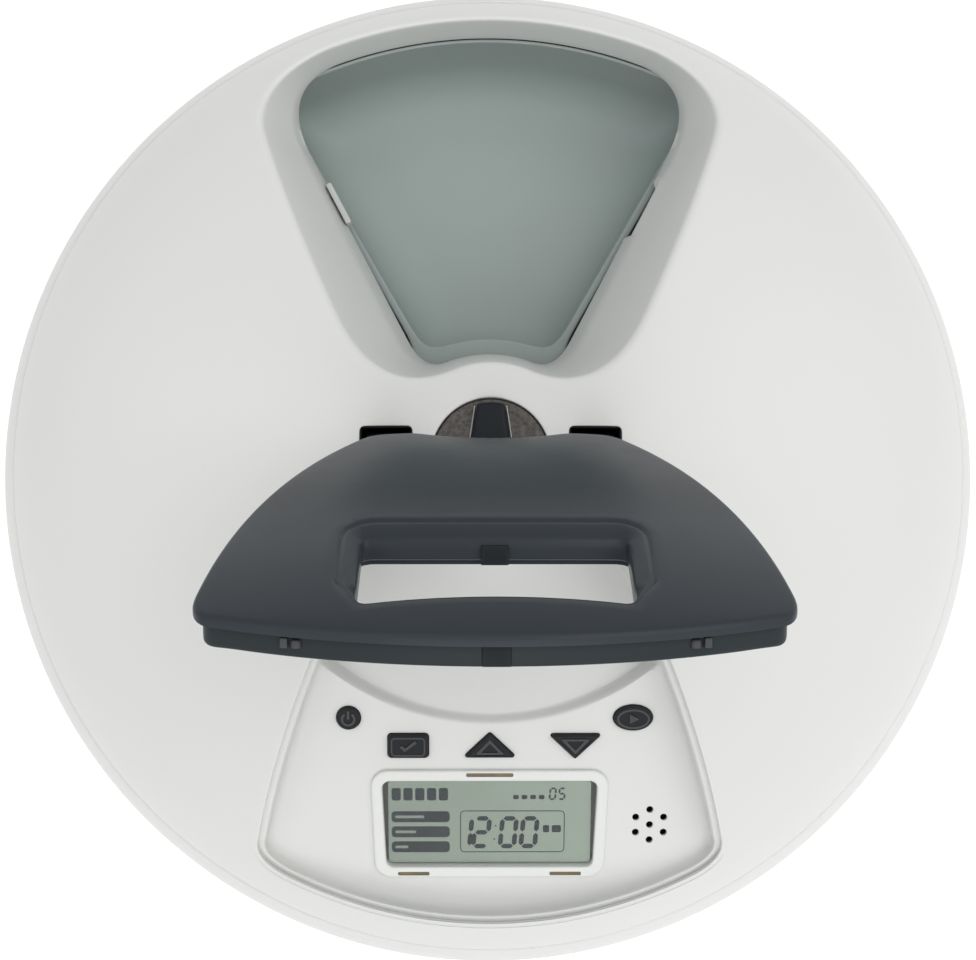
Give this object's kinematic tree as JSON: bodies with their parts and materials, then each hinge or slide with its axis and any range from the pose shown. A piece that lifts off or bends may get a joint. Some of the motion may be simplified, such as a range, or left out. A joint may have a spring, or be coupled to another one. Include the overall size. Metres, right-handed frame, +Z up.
{
  "type": "automatic pet feeder",
  "caption": "Round pet feeder with a domed lid, a wedge window over a turning food tray, a centre lock knob, a control panel and a cover that is also the handle",
  "frame": {"origin": "on the table, under the middle of the round base", "axes": "+Z up, +Y towards the food window, -Y towards the control panel"},
  "size_m": [0.32, 0.32, 0.2302],
  "materials": {
    "shell_white": "satin moulded plastic, off-white",
    "base_white": "satin moulded plastic, off-white",
    "tray_grey": "food-safe satin plastic, cool mid grey",
    "cover_grey": "semi-gloss moulded plastic, dark grey",
    "liner_grey": "semi-gloss moulded plastic, dark grey",
    "knob_stone": "textured matte plastic, warm grey",
    "button_grey": "matte rubberised plastic, dark grey",
    "bezel_white": "satin plastic, off-white",
    "lens_clear": "clear window over the display",
    "display_green": "reflective liquid crystal, grey green",
    "seal_grey": "soft silicone",
    "foot_rubber": "moulded rubber",
    "steel": "zinc-plated steel",
    "pin_steel": "ground steel",
    "board_green": "glass-epoxy board with solder mask",
    "mat_rubber": "silicone keypad",
    "speaker_black": "moulded case with paper cone",
    "nylon": "natural acetal",
    "motor_steel": "drawn steel can",
    "brass_gear": "cut brass",
    "contact_metal": "nickel-plated spring steel",
    "cell_jacket": "plain printed film, dark",
    "box_grey": "moulded plastic",
    "clip_grey": "moulded plastic, light grey"
  },
  "bodies": {
    "base": {"base_shell": "base_white", "centre_post": "nylon", "post_screws": "steel", "tray_glide_ring": "nylon", "rubber_feet": "foot_rubber"},
    "tray": {"food_tray": "tray_grey", "tray_rim": "tray_grey", "tray_walls": "tray_grey"},
    "lid": {"lid_shell": "shell_white", "lid_floor": "base_white", "lid_seal": "seal_grey", "lid_screws": "steel", "window_clips": "clip_grey", "display_bezel": "bezel_white", "display_lens": "lens_clear", "display_panel": "display_green", "control_board": "board_green", "board_screws": "steel", "keypad_mat": "mat_rubber", "speaker": "speaker_black", "gearbox_plate": "clip_grey", "gearbox_screws": "steel", "drive_motor": "motor_steel", "idler_pin": "pin_steel", "index_switch": "speaker_black", "battery_box": "box_grey", "battery_contacts": "contact_metal", "battery_cells": "cell_jacket", "hinge_pins": "pin_steel"},
    "drive": {"drive_gear": "nylon"},
    "idler": {"idler_gear": "nylon"},
    "pinion": {"motor_pinion": "brass_gear"},
    "lock": {"lock_knob": "knob_stone", "knob_grip": "button_grey", "lock_shaft": "nylon", "knob_screw": "steel"},
    "power_key": {"power_button": "button_grey"},
    "enter_key": {"enter_button": "button_grey"},
    "up_key": {"up_button": "button_grey"},
    "down_key": {"down_button": "button_grey"},
    "start_key": {"start_button": "button_grey"},
    "cover": {"handle_cover": "cover_grey", "handle_liner": "liner_grey", "hinge_arms": "liner_grey", "cover_screws": "steel"},
    "door": {"battery_door": "base_white"}
  },
  "joints": [
    {"name": "tray_spin", "type": "hinge", "parent": "base", "child": "tray", "pos_m": [0, 0, 0.05], "axis": [0, 0, 1], "continuous": true},
    {"name": "lid_lift", "type": "slide", "parent": "base", "child": "lid", "axis": [0, 0, 1], "range_m": [0, 0.09]},
    {"name": "drive_spin", "type": "hinge", "parent": "lid", "child": "drive", "pos_m": [0, 0, 0.058], "axis": [0, 0, 1], "continuous": true},
    {"name": "idler_spin", "type": "hinge", "parent": "lid", "child": "idler", "pos_m": [0.0311, 0, 0.064], "axis": [0, 0, 1], "continuous": true},
    {"name": "pinion_spin", "type": "hinge", "parent": "lid", "child": "pinion", "pos_m": [0.0552, 0, 0.066], "axis": [0, 0, 1], "continuous": true},
    {"name": "lock_turn", "type": "hinge", "parent": "lid", "child": "lock", "pos_m": [0, 0, 0.1], "axis": [0, 0, 1], "range_deg": [0, 90]},
    {"name": "cover_swing", "type": "hinge", "parent": "lid", "child": "cover", "pos_m": [0, 0.003, 0.0936], "axis": [-1, 0, 0], "range_deg": [-76, 18]},
    {"name": "door_slide", "type": "slide", "parent": "lid", "child": "door", "axis": [0, 1, 0], "range_m": [0, 0.005]},
    {"name": "power_press", "type": "slide", "parent": "lid", "child": "power_key", "axis": [0, 0.2794, -0.9602], "range_m": [0, 0.001], "stiffness_N_per_m": 600},
    {"name": "enter_press", "type": "slide", "parent": "lid", "child": "enter_key", "axis": [0, 0.2794, -0.9602], "range_m": [0, 0.001], "stiffness_N_per_m": 600},
    {"name": "up_press", "type": "slide", "parent": "lid", "child": "up_key", "axis": [0, 0.2794, -0.9602], "range_m": [0, 0.001], "stiffness_N_per_m": 600},
    {"name": "down_press", "type": "slide", "parent": "lid", "child": "down_key", "axis": [0, 0.2794, -0.9602], "range_m": [0, 0.001], "stiffness_N_per_m": 600},
    {"name": "start_press", "type": "slide", "parent": "lid", "child": "start_key", "axis": [0, 0.2794, -0.9602], "range_m": [0, 0.001], "stiffness_N_per_m": 600}
  ],
  "couplings": [
    {"joint": "drive_spin", "follows": "tray_spin", "ratio": 1},
    {"joint": "idler_spin", "follows": "tray_spin", "ratio": -3.4286},
    {"joint": "pinion_spin", "follows": "tray_spin", "ratio": 10.286}
  ]
}
